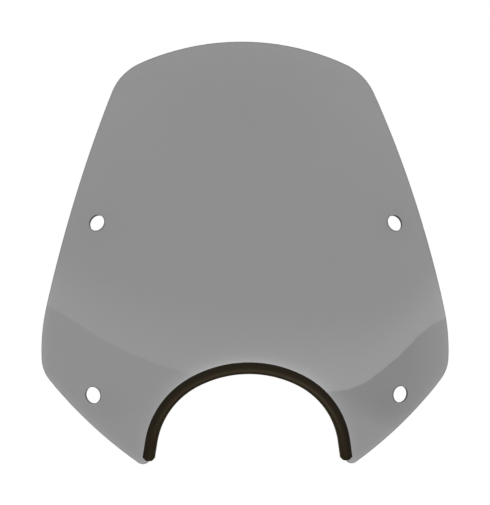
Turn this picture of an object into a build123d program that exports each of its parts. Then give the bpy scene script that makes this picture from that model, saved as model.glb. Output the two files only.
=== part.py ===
from build123d import *
from build123d.topology import SkipClean
import os
from math import asin, cos, degrees, radians, sin, sqrt, tan

# Motorcycle windshield: a thin tinted sheet bowed both ways, with four fixing holes and an arched cut-out
# that clears a round headlamp. A rubber edge trim grips the sheet along the arch.
#
# Millimetres and degrees. +Z is up, the sheet faces -Y, and it is the same on both sides of X = 0.
# The origin is the centre of the four fixing holes. Heights are measured from it, and half widths from
# X = 0. Outline sizes are those of the front view, which is what a drilling and trimming template shows.

# The sheet's form: an upright arc, its bow, swept round an axis that leans back at the top.
sheet_thickness = 3.2
bow_radius = 450.0
sweep_radius = 365.0
axis_lean = 20.0
upright_height = -53.0
form_margin = 10.0

# The outline in the front view, from the top middle round to the foot of the arch.
top_height = 284.5
crown_radius = 269.0
shoulder_half_width = 132.7
shoulder_radius = 56.0
flank_radius = 1925.0
hip_inset = 3.75
hip_height = 0.8
side_half_width = 210.1
corner_height = -65.2
corner_radius = 36.0
skirt_radius = 487.0
tip_half_width = 100.4
tip_height = -163.2
tip_radius = 8.2
rim_bevel = 0.8

# The arch over the headlamp: a round crown, rounder haunches, and legs that flare outwards to the tips.
arch_height = -60.6
arch_crown_radius = 112.5
arch_haunch_radius = 83.0
arch_flare = 9.0
arch_rise = 300.0
arch_overrun = 12.0

# Four plain holes, drilled square to the sheet.
hole_diameter = 17.0
hole_rise = 175.7
upper_hole_spread = 307.6
lower_hole_spread = 314.2
hole_edge_break = 0.3

# The edge trim: a rubber channel with a thick bevelled web, the nose, and a leg on each face of the sheet.
trim_web = 4.0
trim_leg = 8.2
trim_leg_wall = 2.1
trim_nose_bevel = 2.2
trim_lip_bevel = 0.9
trim_end_height = -153.8
trim_end_lip_chamfer = 5.0
trim_end_nose_chamfer = 2.5

through = 600.0


def trimmed_form(form, sketch):
    """The piece of the form that a front view sketch covers, with an edge for each line and arc of it."""
    prism = Solid.extrude(sketch.faces()[0], Vector(0, through, 0)).moved(Location((0, -through / 2, 0)))
    with SkipClean():
        return (form & prism).faces()[0]


def thickened(face, wall):
    """The face given a wall, towards the rider."""
    return Solid.thicken(face, wall, (0, 1, 0))


def splined(solid):
    """The same solid, with its surfaces and edges written as splines."""
    return solid.to_splines(nurbs=True).solids()[0].fix()


def both_faces(solid):
    """A thickened solid's front and rear faces, which are its two largest."""
    return solid.faces().sort_by(SortBy.AREA)[-2:].sort_by(Axis.Y)


def corners(sketch, half_width, height):
    """The sketch's left and right corners that lie at this half width and height."""
    near = 0.01
    return [v for v in sketch.vertices() if abs(abs(v.X) - half_width) < near and abs(v.Y - height) < near]


def sheet_form(standoff):
    """The form as one face, this far in front of the sheet. The bow is foremost where the sheet is upright."""
    lean = radians(axis_lean)
    bow_centre = Vector(0, bow_radius, upright_height)
    axis_foot = bow_centre + Vector(0, cos(lean), -sin(lean)) * (sweep_radius - bow_radius)
    axis = Axis(axis_foot, Vector(0, sin(lean), cos(lean)))

    def bow_point(tilt):
        return bow_centre + Vector(0, -cos(radians(tilt)), sin(radians(tilt))) * (bow_radius + standoff)

    top_tilt = degrees(asin((top_height - upright_height) / bow_radius)) + form_margin
    foot_tilt = degrees(asin((tip_height - upright_height) / bow_radius)) - form_margin
    half_sweep = degrees(asin(side_half_width / sweep_radius)) + form_margin
    bow = ThreePointArc(bow_point(foot_tilt), bow_point(0), bow_point(top_tilt)).edge()
    return Face.revolve(bow.rotate(axis, -half_sweep), 2 * half_sweep, axis)


def on_form(form, x, z):
    """The form's point seen at x, z in the front view, and its normal towards the rider."""
    point, normal = form.find_intersection_points(Axis((x, 0, z), (0, 1, 0)))[0]
    return point, normal if normal.Y > 0 else -normal


hole_places = [
    (side * spread / 2, height)
    for spread, height in ((upper_hole_spread, hole_rise / 2), (lower_hole_spread, -hole_rise / 2))
    for side in (-1, 1)
]

# The form is moved so that the origin is the centre of the four holes, at the middle of the sheet's wall.
form = sheet_form(0)
hole_middles = []
for x, z in hole_places:
    point, normal = on_form(form, x, z)
    hole_middles.append(point + normal * (sheet_thickness / 2))
setback = sum(middle.Y for middle in hole_middles) / len(hole_middles)
to_origin = Location((0, -setback, 0))
form = form.moved(to_origin)

# The arch, open at the bottom.
arch_floor = tip_height - arch_overrun
arch_floor_half_width = tip_half_width + arch_overrun * tan(radians(arch_flare))
with BuildSketch(Plane.XZ) as arch:
    with Locations((0, arch_height - arch_crown_radius)):
        Circle(arch_crown_radius)
    with Locations((0, arch_floor)):
        Trapezoid(
            2 * arch_floor_half_width, arch_rise, 90 - arch_flare,
            align=(Align.CENTER, Align.MIN), mode=Mode.INTERSECT,
        )
    fillet(arch.vertices().group_by(Axis.Y)[-1], arch_haunch_radius)

# The outline, with the arch taken out and its corners rounded.
shoulder_height = top_height - crown_radius + sqrt(crown_radius**2 - shoulder_half_width**2)
with BuildSketch(Plane.XZ) as outline:
    with BuildLine():
        crown = RadiusArc((0, top_height), (shoulder_half_width, shoulder_height), crown_radius)
        flank = RadiusArc(crown @ 1, (side_half_width - hip_inset, hip_height), flank_radius)
        hip = TangentArc(flank @ 1, (side_half_width, corner_height), tangent=flank % 1)
        skirt = RadiusArc(hip @ 1, (tip_half_width, tip_height), skirt_radius)
        Polyline(skirt @ 1, (0, tip_height), crown @ 0)
    make_face()
    mirror(about=Plane.YZ)
    add(arch.sketch, mode=Mode.SUBTRACT)
    fillet(corners(outline, shoulder_half_width, shoulder_height), shoulder_radius)
    fillet(corners(outline, side_half_width, corner_height), corner_radius)
    fillet(corners(outline, tip_half_width, tip_height), tip_radius)

# The sheet: the form trimmed to the outline and thickened towards the rider, so that its cut edge stands
# square to its faces all the way round.
blank = thickened(trimmed_form(form, outline.sketch), sheet_thickness)
blank = splined(blank.chamfer(rim_bevel, None, both_faces(blank).edges()))

# The drill: a plain bore that breaks the sheet's edges at 45 degrees as it goes through.
hole_radius = hole_diameter / 2
plain_reach = sheet_thickness / 2 - hole_edge_break
mouth_flare = 2 * hole_edge_break
with BuildSketch(Plane.XZ) as drill_half:
    with BuildLine():
        Polyline(
            (0, 0), (hole_radius, 0), (hole_radius, plain_reach),
            (hole_radius + mouth_flare, plain_reach + mouth_flare), (0, plain_reach + mouth_flare), (0, 0),
        )
    make_face()
    mirror(about=Plane.XZ)
drill = revolve(drill_half.sketch, Axis.Z)

screen = blank
for x, z in hole_places:
    point, normal = on_form(form, x, z)
    screen -= Plane(origin=point + normal * (sheet_thickness / 2), z_dir=normal) * drill

# The trim covers a band of the form round the arch, as thick as the sheet and both legs. Each end is cut
# level, with a corner taken off its lip and a small one off its nose.
with BuildSketch(Plane.XZ) as band:
    offset(arch.sketch, trim_leg, kind=Kind.ARC)
    offset(arch.sketch, -trim_web, kind=Kind.ARC, mode=Mode.SUBTRACT)
    with Locations((0, trim_end_height)):
        Rectangle(through, through, align=(Align.CENTER, Align.MAX), mode=Mode.SUBTRACT)
    foot_corners = band.vertices().group_by(Axis.Y)[0].sort_by(Axis.X)
    chamfer([foot_corners[0], foot_corners[-1]], trim_end_lip_chamfer)
    chamfer(foot_corners[1:-1], trim_end_nose_chamfer)
trim_form = sheet_form(trim_leg_wall).moved(to_origin)
channel = thickened(trimmed_form(trim_form, band.sketch), sheet_thickness + 2 * trim_leg_wall)

with BuildSketch(Plane.XZ) as nose_side:
    offset(arch.sketch, trim_leg / 2, kind=Kind.ARC)
nose_region = nose_side.sketch.faces()[0]


def on_nose_side(edge):
    """Whether an edge lies nearer the trim's nose than its lips, in the front view."""
    return nose_region.is_inside(Vector(edge.center().X, 0, edge.center().Z))


def rims(channel):
    """The edges that run along the channel's two faces. The six faces of its cut ends are its lowest."""
    return both_faces(channel).edges() - channel.faces().sort_by(Axis.Z)[:6].edges()


channel = channel.chamfer(trim_nose_bevel, None, rims(channel).filter_by(on_nose_side))
channel = channel.chamfer(trim_lip_bevel, None, rims(channel).filter_by(on_nose_side, reverse=True))
arch_trim = splined(channel) - blank

os.makedirs("parts", exist_ok=True)
export_step(screen, "parts/screen.step")
export_step(arch_trim, "parts/arch_trim.step")
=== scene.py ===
import math

import bpy
import numpy as np
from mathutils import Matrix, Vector


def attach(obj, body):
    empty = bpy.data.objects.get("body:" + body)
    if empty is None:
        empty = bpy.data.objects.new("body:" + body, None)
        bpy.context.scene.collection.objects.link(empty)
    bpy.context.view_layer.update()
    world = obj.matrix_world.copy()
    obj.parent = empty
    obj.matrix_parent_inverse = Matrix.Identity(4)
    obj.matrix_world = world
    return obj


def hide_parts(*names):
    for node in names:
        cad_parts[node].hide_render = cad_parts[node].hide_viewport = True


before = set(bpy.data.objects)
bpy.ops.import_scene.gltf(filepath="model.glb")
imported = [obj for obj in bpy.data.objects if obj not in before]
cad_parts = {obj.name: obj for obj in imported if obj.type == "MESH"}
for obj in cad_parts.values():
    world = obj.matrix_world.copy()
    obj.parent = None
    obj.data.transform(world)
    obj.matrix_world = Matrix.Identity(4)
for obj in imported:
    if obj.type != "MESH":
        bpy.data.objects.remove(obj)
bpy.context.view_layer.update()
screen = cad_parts["screen"]
print("frame loaded:", sorted(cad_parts))


class Wire:
    # One output of a shader node. Maths on wires adds the Math nodes, so a material reads as plain formulas.

    def __init__(self, tree, socket=None):
        self.tree = tree
        self.socket = socket

    def add(self, kind, settings=None, inputs=None, output=0):
        # Any node: its type, its settings, which go in first, and the values or links of its sockets.
        node = self.tree.nodes.new(kind)
        for name, value in (settings or {}).items():
            setattr(node, name, value)
        for name, value in (inputs or {}).items():
            if isinstance(value, Wire):
                self.tree.links.new(value.socket, node.inputs[name])
            else:
                node.inputs[name].default_value = value
        return Wire(self.tree, node.outputs[output] if node.outputs else None)

    def maths(self, operation, first, second=0.0):
        return self.add("ShaderNodeMath", {"operation": operation}, {0: first, 1: second})

    def __add__(self, other): return self.maths("ADD", self, other)
    def __radd__(self, other): return self.maths("ADD", other, self)
    def __sub__(self, other): return self.maths("SUBTRACT", self, other)
    def __rsub__(self, other): return self.maths("SUBTRACT", other, self)
    def __mul__(self, other): return self.maths("MULTIPLY", self, other)
    def __rmul__(self, other): return self.maths("MULTIPLY", other, self)
    def __truediv__(self, other): return self.maths("DIVIDE", self, other)
    def __rtruediv__(self, other): return self.maths("DIVIDE", other, self)

    def size(self): return self.maths("ABSOLUTE", self)
    def exp(self): return self.maths("EXPONENT", self)
    def least(self, other): return self.maths("MINIMUM", self, other)
    def most(self, other): return self.maths("MAXIMUM", self, other)

    def bell(self):
        # 1 at zero and fading to both sides: exp(-value squared).
        return (self * self * -1).exp()

    def fade(self, start, end):
        # 0 before start, 1 after end, smooth between.
        return self.add(
            "ShaderNodeMapRange", {"interpolation_type": "SMOOTHSTEP"},
            {"Value": self, "From Min": start, "From Max": end},
        )

    def part(self, index):
        # The x, y or z of a vector.
        return self.add("ShaderNodeSeparateXYZ", None, {0: self}, output=index)

    def vector(self, operation, other=(0, 0, 0), output=0):
        return self.add("ShaderNodeVectorMath", {"operation": operation}, {0: self, 1: other}, output)

    def farFrom(self, centre):
        # The distance from a point.
        return self.vector("DISTANCE", centre, output=1)

    def scaled(self, factor):
        # A vector or colour times a number.
        return self.add("ShaderNodeVectorMath", {"operation": "SCALE"}, {0: self, "Scale": factor})

    def between(self, first, second):
        # The colour that lies this far from first to second.
        return self.add(
            "ShaderNodeMix", {"data_type": "RGBA"}, {"Factor": self, 6: first, 7: second}, output=2
        )

    def noise(self, scale, detail=2.0, roughness=0.5):
        # A noise value over the piece's own place, in cells per metre.
        return self.add("ShaderNodeTexNoise", None, {
            "Vector": self, "Scale": scale, "Detail": detail, "Roughness": roughness,
        })


def newTree(owner):
    owner.use_nodes = True
    owner.node_tree.nodes.clear()
    return Wire(owner.node_tree)


def dress(piece, name, build):
    # Puts a new material, whose nodes build makes, in the piece's only slot.
    material = bpy.data.materials.new(name)
    wire = newTree(material)
    wire.add("ShaderNodeOutputMaterial", None, {"Surface": build(wire)})
    piece.data.materials.clear()
    piece.data.materials.append(material)


def placeOf(wire):
    return wire.add("ShaderNodeTexCoord", output="Object")


def newObject(name, vertices, faces, uv=None):
    mesh = bpy.data.meshes.new(name)
    mesh.from_pydata(vertices.tolist(), [], faces)
    if uv is not None:
        layer = mesh.uv_layers.new(name="UVMap")
        corners = np.empty(len(mesh.loops), np.int32)
        mesh.loops.foreach_get("vertex_index", corners)
        layer.data.foreach_set("uv", uv[corners].ravel())
    mesh.shade_smooth()
    mesh.update()
    made = bpy.data.objects.new(name, mesh)
    bpy.context.scene.collection.objects.link(made)
    return made


def gridFaces(rows, columns):
    # The quads between the points of a grid that is written row by row.
    first = (np.arange(rows - 1)[:, None] * columns + np.arange(columns - 1)[None, :]).ravel()
    return np.stack([first, first + 1, first + columns + 1, first + columns], axis=1).tolist()


# The edge trim: one extruded rubber channel with a rounded nose, pushed onto the arch. Millimetres here, as in
# the part's own drawing, and metres in the mesh.
trim = {
    "web": 4.0,                 # from the arch's edge inwards to the nose
    "leg": 7.8,                 # and outwards to the lips
    "wall": 1.75,
    "noseRound": 2.8,
    "lipRound": 0.9,
    "mouthRound": 0.5,
    "clearance": 0.03,          # between the rubber and the sheet
    "crown": 0.33,              # how far each face bulges between nose and lip
    "endHeight": -153.2,
    "endChamfer": 4.6,          # across the lip's side
    "endSlope": 0.8,            # how much the chamfer rises for that
    "endRound": 3.2,
    "rows": 201,                # along the arch
    "cornerSteps": 7,
    "flatSteps": 6,
    "sharpAngle": 50.0,         # the rims of the cut ends are sharper than this, and stay crisp
}
arch = {
    "height": -60.6,
    "crownRadius": 112.5,
    "haunchRadius": 83.0,
    "haunchStart": 27.9,        # degrees of turn from the top, where the crown hands over to the haunch
    "flare": 9.0,               # degrees by which the legs open downwards
}
sheetForm = {
    "sheet": 3.2,
    "bowRadius": 450.0,
    "sweepRadius": 365.0,
    "lean": 20.0,
    "foremost": (0.0, -49.6156, -53.0),
    "newtonSteps": 8,
}
flare = math.radians(arch["flare"])
handOver = math.radians(arch["haunchStart"])
crownLength = arch["crownRadius"] * handOver
haunchLength = arch["haunchRadius"] * (math.pi / 2 - flare - handOver)


def onForm(x, z, depth):
    # The point seen at x, z from the front, moved by depth along the form's normal towards the rider.
    # The form is where hypot(rho + bow - sweep, along) = bow, with rho the distance from the sweep's axis and
    # along the distance along it. y is found by Newton's steps.
    lean = math.radians(sheetForm["lean"])
    bow = sheetForm["bowRadius"]
    extra = bow - sheetForm["sweepRadius"]
    axis = np.array([0, math.sin(lean), math.cos(lean)])
    across = np.array([0, math.cos(lean), -math.sin(lean)])
    foot = np.array(sheetForm["foremost"]) + np.array([0, bow, 0]) - across * extra
    point = np.stack([x, np.full_like(x, sheetForm["foremost"][1]), z], axis=-1)
    for step in range(sheetForm["newtonSteps"]):
        reach = point - foot
        along = reach @ axis
        radial = reach - along[..., None] * axis
        rho = np.linalg.norm(radial, axis=-1)
        span = np.hypot(rho + extra, along)
        slope = (rho + extra)[..., None] * radial / rho[..., None] + along[..., None] * axis
        slope = slope / span[..., None]
        point[..., 1] -= (span - bow) / slope[..., 1]
    return point - slope * depth[..., None]


def archPoint(run):
    # The arch's edge from the front at a run measured from its top, and the turn of its outward normal there:
    # x = crown (sin turn) + haunch (sin turn - sin start) + leg (cos turn), and z falls in the same way.
    crown = np.minimum(np.abs(run), crownLength)
    haunch = np.clip(np.abs(run) - crown, 0, haunchLength)
    leg = np.abs(run) - crown - haunch
    first = crown / arch["crownRadius"]
    turn = first + haunch / arch["haunchRadius"]
    x = (
        arch["crownRadius"] * np.sin(first)
        + arch["haunchRadius"] * (np.sin(turn) - np.sin(first))
        + leg * np.cos(turn)
    )
    drop = (
        arch["crownRadius"] * (1 - np.cos(first))
        + arch["haunchRadius"] * (np.cos(first) - np.cos(turn))
        + leg * np.sin(turn)
    )
    return np.sign(run) * x, arch["height"] - drop, np.sign(run) * turn


def roundedLoop(corners, rounds, steps):
    # A closed loop of square corners, each rounded: corner + r (1 - sin t) back + r (1 - cos t) on.
    back = np.roll(corners, 1, axis=0) - corners
    on = np.roll(corners, -1, axis=0) - corners
    back = back / np.linalg.norm(back, axis=1, keepdims=True)
    on = on / np.linalg.norm(on, axis=1, keepdims=True)
    t = np.linspace(0, math.pi / 2, steps)[None, :, None]
    r = rounds[:, None, None]
    return corners[:, None] + r * (1 - np.sin(t)) * back[:, None] + r * (1 - np.cos(t)) * on[:, None]


def trimSection():
    # Outwards from the arch's edge, and through the sheet: the channel's outline, mouth and all.
    half = sheetForm["sheet"] / 2
    mouth = half + trim["clearance"]
    skin = half + trim["wall"]
    nose, lip, seat = -trim["web"], trim["leg"], -trim["clearance"]
    corners = np.array([
        (nose, -skin), (lip, -skin), (lip, -mouth), (seat, -mouth),
        (seat, mouth), (lip, mouth), (lip, skin), (nose, skin),
    ])
    noseRound, lipRound, mouthRound = trim["noseRound"], trim["lipRound"], trim["mouthRound"]
    rounds = np.array([
        noseRound, lipRound, mouthRound, mouthRound, mouthRound, mouthRound, lipRound, noseRound,
    ])
    arcs = roundedLoop(corners, rounds, trim["cornerSteps"])
    share = np.linspace(0, 1, trim["flatSteps"])[None, 1:-1, None]
    flats = arcs[:, -1:] * (1 - share) + np.roll(arcs[:, :1], -1, axis=0) * share
    loop = np.concatenate([arcs, flats], axis=1).reshape(-1, 2)
    # Both outer faces are crowned: crown (1 - (distance from their middle / half their width) squared).
    middle = (lip + nose) / 2
    bulge = np.clip(1 - ((loop[:, 0] - middle) / (lip - middle)) ** 2, 0, 1) * trim["crown"]
    outer = np.clip((np.abs(loop[:, 1]) - mouth) / (skin - mouth), 0, 1)
    loop[:, 1] += np.sign(loop[:, 1]) * bulge * outer
    return loop


def buildTrim():
    # The section carried along the arch's edge and bent onto the form, with a cap at each end.
    loop = trimSection()
    out, depth = loop[:, 0], loop[:, 1]
    bendHeight = archPoint(np.array([crownLength + haunchLength]))[1][0]
    halfRun = crownLength + haunchLength + (bendHeight - trim["endHeight"]) / math.cos(flare)
    # How much sooner the rubber ends at each distance out: the level cut, the lip's chamfer, the nose's round.
    inward = np.clip(trim["endRound"] - trim["web"] - out, 0, trim["endRound"])
    early = -out * math.tan(flare)
    early += np.clip(out - (trim["leg"] - trim["endChamfer"]), 0, None) * trim["endSlope"]
    early += trim["endRound"] - np.sqrt(trim["endRound"] ** 2 - inward**2)
    run = np.linspace(-1, 1, trim["rows"])[:, None] * (halfRun - early[None, :])
    x, z, turn = archPoint(run)
    points = onForm(x + out * np.sin(turn), z + out * np.cos(turn), sheetForm["sheet"] / 2 + depth + 0 * run)
    rows, columns = run.shape
    # The section is a loop, so the last column of quads joins its end to its start.
    first = np.arange(rows - 1)[:, None] * columns + np.arange(columns)[None, :]
    beside = np.arange(rows - 1)[:, None] * columns + (np.arange(columns)[None, :] + 1) % columns
    quads = np.stack([first, first + columns, beside + columns, beside], axis=-1).reshape(-1, 4)
    caps = [np.arange(columns).tolist(), ((rows - 1) * columns + np.arange(columns))[::-1].tolist()]
    # The UV map, in metres: along the arch, and round the section from its nose.
    around = np.cumsum(np.linalg.norm(np.diff(loop, axis=0, prepend=loop[-1:]), axis=1))
    uv = np.stack([run, around + 0 * run], axis=-1).reshape(-1, 2) / 1000
    made = newObject("rubber_trim", points.reshape(-1, 3) / 1000, quads.tolist() + caps, uv)
    made.data.set_sharp_from_angle(angle=math.radians(trim["sharpAngle"]))
    return made


rubberTrim = buildTrim()
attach(rubberTrim, "root")
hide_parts("arch_trim")
trimLook = {
    "dark": (0.0190, 0.0125, 0.0040, 1),
    "worn": (0.0260, 0.0175, 0.0072, 1),
    "patchCells": 60.0,         # cells per metre, here and below
    "patchFade": (0.35, 0.7),
    "patchShare": 0.6,          # the patches' say in the wear, against the streaks'
    "streakCells": (6.0, 900.0, 1.0),       # along and across the extrusion
    "streakDepth": 0.00004,
    # The colour of a painted highlight near the rubber's rounded nose, stronger to the right and over the crown.
    "highlightColour": (0.0620, 0.0470, 0.0300, 1),
    "highlightPlace": 0.0054,      # round the section from the nose, where a highlight is painted on the rubber
    "highlightWidth": 0.0014,
    "highlightLeast": 0.3,         # how strong the painted highlight is at least, and what patches and the right side add
    "highlightNoise": 0.25,
    "highlightRight": 0.3,
    "highlightCells": 35.0,
    "highlightFade": (0.2, 0.8),
    "highlightRightFrom": (-0.04, 0.05),
    "highlightFoot": (-0.14, -0.09),           # the heights between which the painted highlight comes in
    "lipDark": 0.4,             # how much painted shade darkens the rubber towards its lip
    "lipPlace": (0.006, 0.011),
    "grainCells": 2600.0,
    "grainDepth": 0.00003,
    "relief": 0.6,
    "satin": 0.4,
    "dull": 0.14,               # what dust adds to the roughness in patches
    "specular": 0.08,
}


def trimRubber(wire):
    look = trimLook
    place = placeOf(wire)
    section = wire.add("ShaderNodeUVMap", {"uv_map": "UVMap"})
    streaks = section.vector("MULTIPLY", look["streakCells"]).noise(1.0, detail=3.0)
    patches = place.noise(look["patchCells"], detail=5.0, roughness=0.6).fade(*look["patchFade"])
    wear = patches * look["patchShare"] + streaks * (1 - look["patchShare"])
    # A painted highlight: a pale band round the section, stronger to the right, in patches and over the crown.
    sheenAndRubbing = ((section.part(1) - look["highlightPlace"]) / look["highlightWidth"]).bell()
    sheenAndRubbing *= (
        place.noise(look["highlightCells"], detail=3.0).fade(*look["highlightFade"]) * look["highlightNoise"]
        + place.part(0).fade(*look["highlightRightFrom"]) * look["highlightRight"]
        + look["highlightLeast"]
    )
    sheenAndRubbing *= place.part(2).fade(*look["highlightFoot"])
    colour = sheenAndRubbing.between(wear.between(look["dark"], look["worn"]), look["highlightColour"])
    lines = wire.add("ShaderNodeBump", None, {
        "Height": streaks, "Distance": look["streakDepth"], "Strength": look["relief"],
    })
    grain = wire.add("ShaderNodeBump", None, {
        "Height": place.noise(look["grainCells"]), "Distance": look["grainDepth"],
        "Strength": look["relief"], "Normal": lines,
    })
    # The base colour carries painted shade that darkens it towards the lip, where the rubber meets the sheet.
    return wire.add("ShaderNodeBsdfPrincipled", None, {
        "Base Color": colour.scaled(1 - section.part(1).fade(*look["lipPlace"]) * look["lipDark"]),
        "Roughness": patches * look["dull"] + look["satin"],
        "Specular IOR Level": look["specular"],
        "Normal": grain,
    })


dress(rubberTrim, "trim_rubber_look", trimRubber)
print("rubber trim built:", len(rubberTrim.data.vertices), "points")


# The tinted sheet: clear smoke plastic, coloured by its base colour and glossy on both faces. Highlights are
# painted into its tint at its cut rim, its tips and the strip beside the trim, and the drilled bores are dull and
# dark.
sheetLook = {
    "tint": (0.2387, 0.2392, 0.2405),
    "tintSpread": 0.012,        # how far the tint wanders over the sheet
    "tintCells": 4.0,           # cells per metre
    "ior": 1.49,
    "gloss": 0.02,              # roughness where the sheet is clean
    "haze": 0.035,              # what rubbing adds to it in patches
    "hazeCells": 18.0,
    "hazeFade": (0.5, 0.75),
    "waveCells": 9.0,           # the faint waviness of a formed sheet
    "waveDepth": 0.00002,
    "rimLight": 0.26,           # how much a painted highlight lightens the tint at the rim
    "rimReach": 0.0034,
    "rimTop": (-0.02, 0.05),    # the heights between which that ends
    "haloLegs": 0.16,           # the same painted highlight beside the trim, at its legs and over its crown
    "haloCrown": 0.46,
    "haloReach": 0.005,
    "haloRise": (-0.11, -0.055),            # the heights between which one becomes the other
    "tipLight": 0.07,           # and the painted highlight towards the two tips
    "tipTop": (-0.15, -0.09),
    "holeSpotDark": 0.055,            # how much darker the sheet is in a spot beside each hole
    "holeSpotReach": 0.017,
    "bore": (0.012, 0.012, 0.012, 1),
    "boreRough": 0.4,
    "boreSkin": (0.0001, 0.0002),           # how far past the bore's radius its wall is taken to reach
}
# Places on the sheet, in metres and folded onto the right half. The rim's hip and skirt are arcs in the front view.
rimCircles = (((0.00850, 0, -0.04355), 0.20276), ((-0.16548, 0, 0.24482), 0.487))
holeSpots = ((0.1530, 0, 0.0874), (0.1400, 0, -0.1010))
# The holes' middles and axes.
bores = (
    ((0.1531258, 0.0103047, 0.0873588), (0.42137, -0.853351, 0.306985)),
    ((0.1563976, -0.0103047, -0.0877136), (0.439, -0.894436, -0.085229)),
)
boreRadius = 0.0085
# Where the arch's crown hands over to its haunch, by half width, and its haunch to its leg, by height.
crownEnd = (0.05, 0.062)
haunchEnd = (-0.138, -0.13)


def folded(place):
    # The place on the right half, as it is and flattened to the front view.
    right = place.add("ShaderNodeCombineXYZ", None, {
        0: place.part(0).size(), 1: place.part(1), 2: place.part(2),
    })
    return right, right.vector("MULTIPLY", (1, 0, 1))


def paintedRimHighlight(flat):
    # A painted highlight that fades inwards from the rim of the lower half: exp(-distance / reach).
    hip, skirt = [radius - flat.farFrom(centre) for centre, radius in rimCircles]
    light = (hip.least(skirt) / -sheetLook["rimReach"]).exp()
    return light * (1 - flat.part(2).fade(*sheetLook["rimTop"])) * sheetLook["rimLight"]


def paintedTrimHalo(flat):
    # A painted highlight that fades outwards from the trim's lip, along crown, haunch and leg in turn:
    # exp(-distance / reach).
    crownRadius, haunchRadius = arch["crownRadius"] / 1000, arch["haunchRadius"] / 1000
    crownMiddle = np.array([0, 0, arch["height"] / 1000 - crownRadius])
    toHaunch = np.array([math.sin(handOver), 0, math.cos(handOver)])
    haunchMiddle = crownMiddle + toHaunch * (crownRadius - haunchRadius)
    legNormal = np.array([math.cos(flare), 0, math.sin(flare)])
    crown = flat.farFrom(crownMiddle) - crownRadius
    haunch = flat.farFrom(haunchMiddle) - haunchRadius
    leg = flat.vector("DOT_PRODUCT", legNormal, output=1) - float(haunchMiddle @ legNormal + haunchRadius)
    gap = crown + (haunch - crown) * flat.part(0).fade(*crownEnd)
    gap = gap + (leg - gap) * (1 - flat.part(2).fade(*haunchEnd)) - trim["leg"] / 1000
    light = (gap.most(0.0) / -sheetLook["haloReach"]).exp()
    low, high = sheetLook["haloLegs"], sheetLook["haloCrown"]
    return light * (flat.part(2).fade(*sheetLook["haloRise"]) * (high - low) + low)


def darkBesideHoles(flat):
    # Most at the middle of each dark spot: exp(-(distance / reach) squared).
    nearest = flat.farFrom(holeSpots[0]).least(flat.farFrom(holeSpots[1]))
    return (nearest / sheetLook["holeSpotReach"]).bell() * sheetLook["holeSpotDark"]


def inBore(right):
    # 1 on the walls of the holes: the distance from the nearer axis is the bore's radius there.
    upper, lower = [
        right.vector("SUBTRACT", middle).vector("CROSS_PRODUCT", axis).vector("LENGTH", output=1)
        for middle, axis in bores
    ]
    start, end = sheetLook["boreSkin"]
    return 1 - upper.least(lower).fade(boreRadius + start, boreRadius + end)


def tintedSheet(wire):
    look = sheetLook
    place = placeOf(wire)
    right, flat = folded(place)
    thin = [level * (1 + look["tintSpread"]) for level in look["tint"]] + [1]
    thick = [level * (1 - look["tintSpread"]) for level in look["tint"]] + [1]
    tint = place.noise(look["tintCells"], detail=1.0).between(thick, thin)
    # A painted highlight that lightens the tint towards the two tips.
    tips = (1 - flat.part(2).fade(*look["tipTop"])) * look["tipLight"]
    wall = inBore(right)
    sheenAndRubbing = place.noise(look["hazeCells"], detail=4.0).fade(*look["hazeFade"])
    wave = wire.add("ShaderNodeBump", None, {
        "Height": place.noise(look["waveCells"], detail=1.0), "Distance": look["waveDepth"], "Strength": 1.0,
    })
    return wire.add("ShaderNodeBsdfPrincipled", None, {
        # The tint, lighter where highlights are painted at the rim, beside the trim and at the tips, and darker in
        # a spot beside each hole.
        "Base Color": wall.between(
            tint.scaled(paintedRimHighlight(flat) + paintedTrimHalo(flat) + tips + 1 - darkBesideHoles(flat)), look["bore"]
        ),
        "Roughness": sheenAndRubbing * look["haze"] + wall * look["boreRough"] + look["gloss"],
        "IOR": look["ior"],
        "Transmission Weight": 1.0,
        "Normal": wave,
    })


dress(screen, "tinted_sheet_look", tintedSheet)
print("tinted sheet dressed")


# The studio: white all round, a pale floor well below, one broad soft lamp above and in front.
studio = {
    "ambient": 0.62,            # the world's light on the part; it shows as white behind it
    "floorHeight": -0.62,
    "floorRadius": 1.5,
    "floorHole": 0.001,         # the disc starts this far from its middle
    "floorRings": 13,
    "floorTurns": 97,
    "floorFade": (0.45, 0.97),  # shares of the radius between which the card turns white
    "floorColour": (0.8, 0.8, 0.8, 1),
    "keyPower": 26.0,
    "keySize": 2.4,
    "keyPlace": (-0.9, -1.9, 2.2),
}


def seenAsBackground(wire):
    # 1 for the rays that show the white background: straight from the camera, mirrored, or through the sheet.
    straight, mirrored, through = [
        wire.add("ShaderNodeLightPath", output=name)
        for name in ("Is Camera Ray", "Is Glossy Ray", "Is Transmission Ray")
    ]
    return straight.most(mirrored.most(through))


world = bpy.data.worlds.new("studio_world")
bpy.context.scene.world = world
worldWire = newTree(world)
dim = (studio["ambient"],) * 3 + (1,)
worldWire.add("ShaderNodeOutputWorld", None, {
    "Surface": worldWire.add("ShaderNodeBackground", None, {
        "Color": seenAsBackground(worldWire).between(dim, (1, 1, 1, 1)), "Strength": 1.0,
    }),
})


def buildFloor():
    # A disc: radius times the cosine and sine of the turn, on a grid of the two.
    turn, out = np.meshgrid(
        np.linspace(0, 2 * math.pi, studio["floorTurns"]),
        np.linspace(studio["floorHole"], studio["floorRadius"], studio["floorRings"]),
    )
    points = np.stack([out * np.cos(turn), out * np.sin(turn), np.full_like(out, studio["floorHeight"])], axis=-1)
    return newObject("floor", points.reshape(-1, 3), gridFaces(*out.shape))


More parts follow.
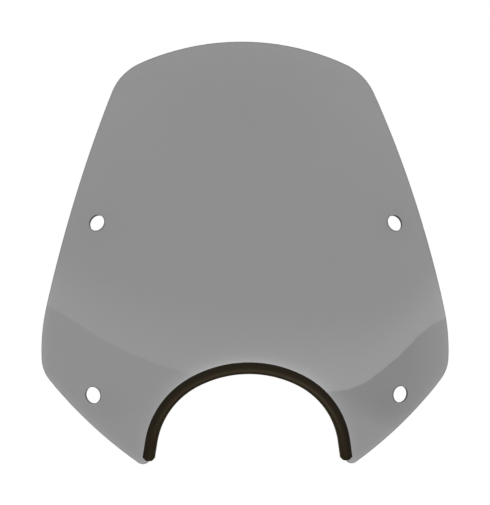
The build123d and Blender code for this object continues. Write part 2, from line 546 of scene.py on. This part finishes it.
def floorLook(wire):
    # Lit card in the middle, fading into the white of the background towards its rim.
    reach = placeOf(wire).vector("MULTIPLY", (1, 1, 0)).vector("LENGTH", output=1)
    rim = (reach / studio["floorRadius"]).fade(*studio["floorFade"])
    card = wire.add("ShaderNodeBsdfDiffuse", None, {"Color": studio["floorColour"]})
    white = wire.add("ShaderNodeEmission", None, {"Color": (1, 1, 1, 1), "Strength": 1.0})
    return wire.add("ShaderNodeMixShader", None, {0: rim, 1: card, 2: white})


floor = buildFloor()
dress(floor, "floor_look", floorLook)

# The room as the sheet mirrors it: a curved wall far round the front, seen by reflections alone. Its upper part
# glows above a sharp edge, and below the edge it is darker to the right. Degrees from the part's middle, with
# azimuth to the right. v is 0 at the edge, 1 where the glow has faded out, 2 overhead and -1 at the lower rim.
surround = {
    "radius": 6.0,
    "reach": 100,               # azimuth of both ends
    "overhead": 88,             # elevation where v is 2
    "below": 30.0,              # how far the wall goes on under the edge
    "columns": 201,
    "rows": 121,
    "azimuth": (-100, -75, -61, -49, -38, -26.5, -10, 15, 33, 41, 45.3, 49.3, 57, 65.6, 70.5, 79, 100),
    "edge": (13.8, 8.9, 5.4, 1.2, -2.1, -5.2, -8.4, -11.2, -11.9, -11.1, -9.8, -7.8, -3.7, 1.1, 3.0, 5.0, 8.5),
    "edgeSoft": 0.01,           # half the edge's width, in v
    "glowPlaces": (-100, -72, -44, -17, 15, 36, 47, 58, 72, 100),
    "glowTop": (26, 24, 22, 18, 15, 13, 13, 14, 19, 26),
    "plain": 1.13,
    "glowLeft": 1.8,
    "glowRight": 2.15,
    "turnsRight": (-20.0, 45.0),            # azimuths between which the left becomes the right
    "spot": 0.24,               # what a second, narrow glow adds right above the edge
    "spotPlace": 29.0,
    "spotWidth": 13.0,
    "spotTop": (0.1, 0.8),
    "dark": 0.27,               # the level under the edge at the right
    "darkEnd": (57.0, 82.0),
    "darkPlace": 37.0,          # under the edge here the dark ends between the depths below,
    "darkDepth": (-3.5, 6.5),
    "darkSlope": 0.7,           # and this much deeper for each degree to the right
    "sides": 0.7,               # what the far left and right add
    "sidesMiddle": 4.0,
    "sidesFrom": (76.0, 90.0),
    "sidesTop": (0.6, 1.2),
    "overheadLoss": 0.12,       # what the wall loses overhead, down to the world's white
    "overheadFrom": (1.5, 1.85),
}


def throughPoints(x, places, values):
    # A smooth curve through the points: in each span the cubic with the points' own slopes at its ends,
    # a + s (slope a + s (3 rise - 2 slope a - slope b + s (slope a + slope b - 2 rise))), s being 0 to 1.
    places, values = np.array(places, float), np.array(values, float)
    slopes = np.gradient(values, places)
    span = np.clip(np.searchsorted(places, x) - 1, 0, len(places) - 2)
    width = np.diff(places)[span]
    s = (x - places[span]) / width
    rise, first, last = np.diff(values)[span], slopes[span] * width, slopes[span + 1] * width
    return values[span] + s * (first + s * (3 * rise - 2 * first - last + s * (first + last - 2 * rise)))


def buildSurround():
    # Radius times the direction of azimuth and elevation, on a grid of azimuth and v.
    azimuth = np.linspace(-surround["reach"], surround["reach"], surround["columns"])
    edge = throughPoints(azimuth, surround["azimuth"], surround["edge"])
    top = throughPoints(azimuth, surround["glowPlaces"], surround["glowTop"])
    v = np.linspace(-1, 2, surround["rows"])[:, None]
    elevation = np.where(v < 0, edge + v * surround["below"], edge + np.minimum(v, 1) * (top - edge))
    elevation = elevation + np.clip(v - 1, 0, None) * (surround["overhead"] - top)
    around, up = np.radians(azimuth + 0 * v), np.radians(elevation)
    points = np.stack(
        [np.cos(up) * np.sin(around), -np.cos(up) * np.cos(around), np.sin(up)], axis=-1
    ) * surround["radius"]
    uv = np.stack([azimuth + 0 * v, v + 0 * azimuth], axis=-1).reshape(-1, 2)
    return newObject("surround", points.reshape(-1, 3), gridFaces(*around.shape), uv)


def surroundLook(wire):
    look = surround
    grid = wire.add("ShaderNodeUVMap", {"uv_map": "UVMap"})
    azimuth, v = grid.part(0), grid.part(1)
    plain = look["plain"]
    rightwards = azimuth.fade(*look["turnsRight"])
    peak = rightwards * (look["glowRight"] - look["glowLeft"]) + (look["glowLeft"] - plain)
    spot = ((azimuth - look["spotPlace"]) / look["spotWidth"]).bell()
    glow = peak * (1 - v.fade(0.0, 1.0)) + spot * (1 - v.fade(*look["spotTop"])) * look["spot"]
    depth = v * -look["below"] - (azimuth - look["darkPlace"]) * look["darkSlope"]
    dark = rightwards * (1 - azimuth.fade(*look["darkEnd"])) * (1 - depth.fade(*look["darkDepth"]))
    aboveEdge = v.fade(-look["edgeSoft"], look["edgeSoft"])
    aside = (azimuth - look["sidesMiddle"]).size().fade(*look["sidesFrom"])
    level = (
        glow * aboveEdge
        + dark * (look["dark"] - plain) * (1 - aboveEdge)
        + aside * (1 - v.fade(*look["sidesTop"])) * look["sides"]
        + plain
        - v.fade(*look["overheadFrom"]) * look["overheadLoss"]
    )
    return wire.add("ShaderNodeEmission", None, {
        "Color": wire.add("ShaderNodeCombineColor", None, {0: level, 1: level, 2: level}), "Strength": 1.0,
    })


roomWall = buildSurround()
dress(roomWall, "surround_look", surroundLook)
roomWall.visible_camera = False
roomWall.visible_diffuse = False
roomWall.visible_transmission = False
roomWall.visible_shadow = False


def facing(place, aim):
    # The turn of a lamp or camera at place that looks at aim.
    return (Vector(aim) - Vector(place)).to_track_quat("-Z", "Y").to_euler()


lamp = bpy.data.lights.new("key_lamp", "AREA")
lamp.energy = studio["keyPower"]
lamp.size = studio["keySize"]
keyLamp = bpy.data.objects.new("key_lamp", lamp)
keyLamp.location = studio["keyPlace"]
keyLamp.rotation_euler = facing(studio["keyPlace"], (0, 0, 0))
keyLamp.visible_glossy = False
keyLamp.visible_transmission = False
bpy.context.scene.collection.objects.link(keyLamp)

# The camera stands level, 2 m in front and a little to the left, and looks straight at the sheet.
view = {
    "place": (-0.0873, -2.0478, 0.05715),
    "aim": (-0.0038, -0.0496, 0.05715),
    "lens": 142.6,
    "sensor": 36.0,
}
cameraData = bpy.data.cameras.new("camera")
cameraData.lens = view["lens"]
cameraData.sensor_width = view["sensor"]
camera = bpy.data.objects.new("camera", cameraData)
camera.location = view["place"]
camera.rotation_euler = facing(view["place"], view["aim"])
bpy.context.scene.collection.objects.link(camera)
bpy.context.scene.camera = camera
bpy.context.scene.view_settings.view_transform = "Standard"
print("studio and camera placed")
